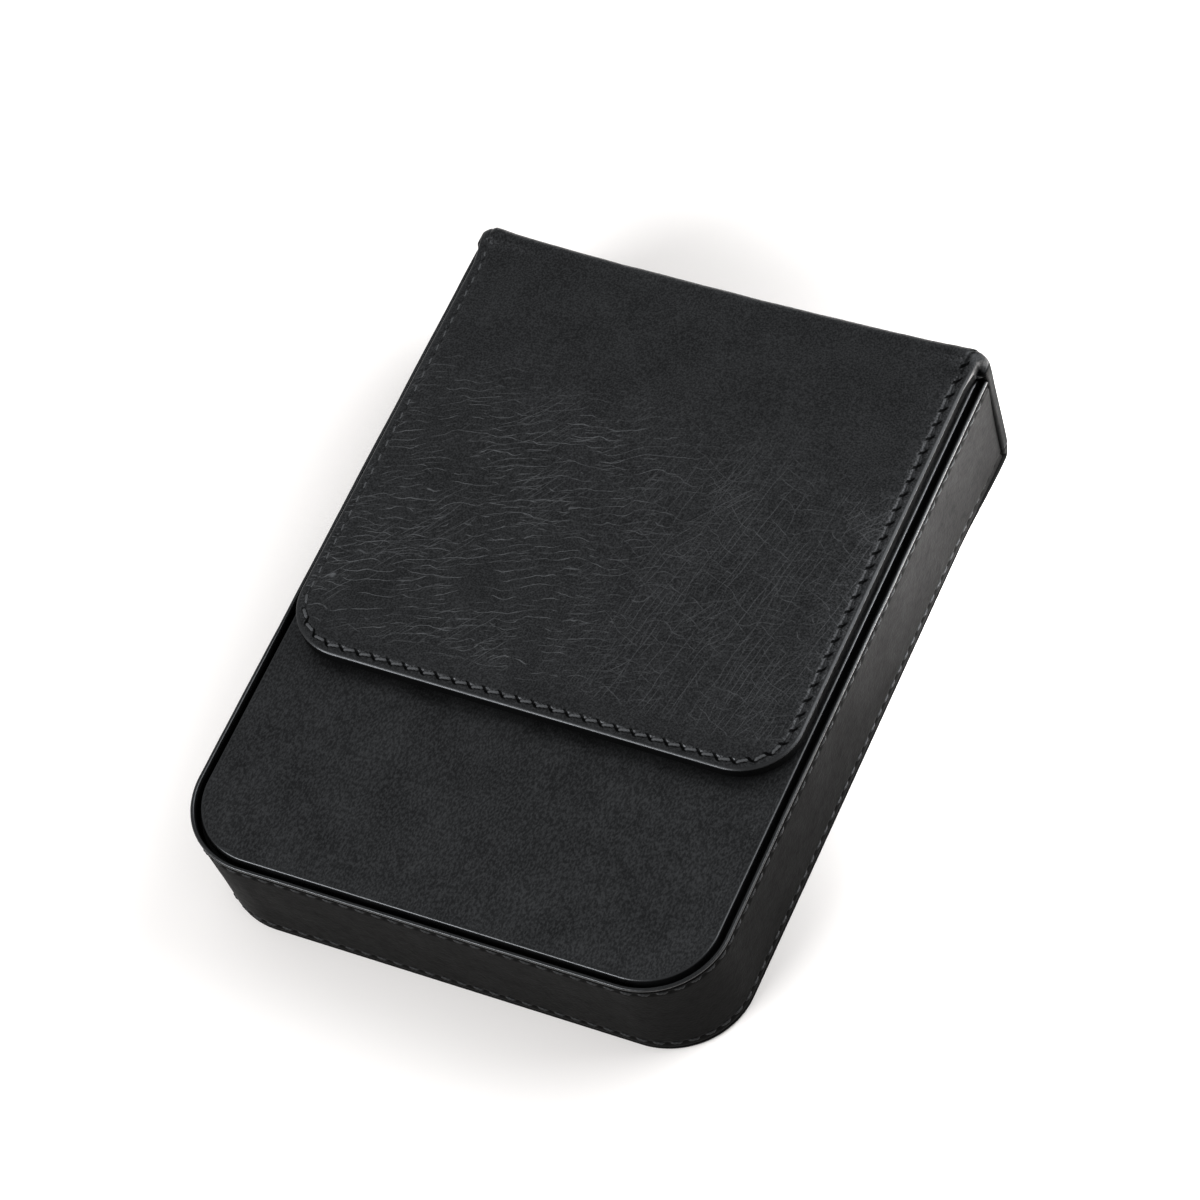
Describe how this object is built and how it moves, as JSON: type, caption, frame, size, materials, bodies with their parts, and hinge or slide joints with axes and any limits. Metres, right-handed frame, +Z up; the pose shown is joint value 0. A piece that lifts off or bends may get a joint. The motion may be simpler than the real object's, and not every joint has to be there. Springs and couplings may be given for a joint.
{
  "type": "leather flap case",
  "caption": "Flat hard-sided leather case with a rounded end, an inset front panel, a folding spine and a padded flap held shut by hidden magnets.",
  "frame": {"origin": "centre of the case's back face, below the middle of its bounding box", "axes": "+Z up from the back through the front panel, +Y towards the hinged end, +X across the case"},
  "size_m": [0.12, 0.16, 0.0348],
  "materials": {
    "flap_leather": "glazed black leather, creased, satin gloss",
    "panel_leather": "fine-grained black leather, satin",
    "case_leather": "smooth black leather, burnished edges",
    "lining": "black microsuede lining",
    "board": "dense black fibreboard",
    "foam": "closed-cell foam sheet",
    "thread": "waxed black polyester thread",
    "plate_steel": "zinc-plated sheet steel",
    "magnet": "nickel-plated disc magnet"
  },
  "bodies": {
    "case": {"back_leather": "case_leather", "back_board": "board", "back_lining": "lining", "wall_leather": "case_leather", "wall_board": "board", "wall_lining": "lining", "front_leather": "panel_leather", "front_board": "board", "front_lining": "lining", "catch_plates": "plate_steel", "rim_stitching": "thread", "base_stitching": "thread", "base_fold": "case_leather"},
    "spine": {"spine_leather": "case_leather", "spine_board": "board", "spine_lining": "lining", "spine_stitching": "thread"},
    "flap": {"flap_leather": "flap_leather", "flap_foam": "foam", "flap_board": "board", "flap_lining": "lining", "flap_magnets": "magnet", "flap_stitching": "thread", "top_fold": "flap_leather"}
  },
  "joints": [
    {"name": "spine_fold", "type": "hinge", "parent": "case", "child": "spine", "pos_m": [0, 0.079, 0.001], "axis": [-1, 0, 0], "range_deg": [0, 90]},
    {"name": "flap_fold", "type": "hinge", "parent": "spine", "child": "flap", "pos_m": [0, 0.0785, 0.0333], "axis": [-1, 0, 0], "range_deg": [0, 90]}
  ]
}
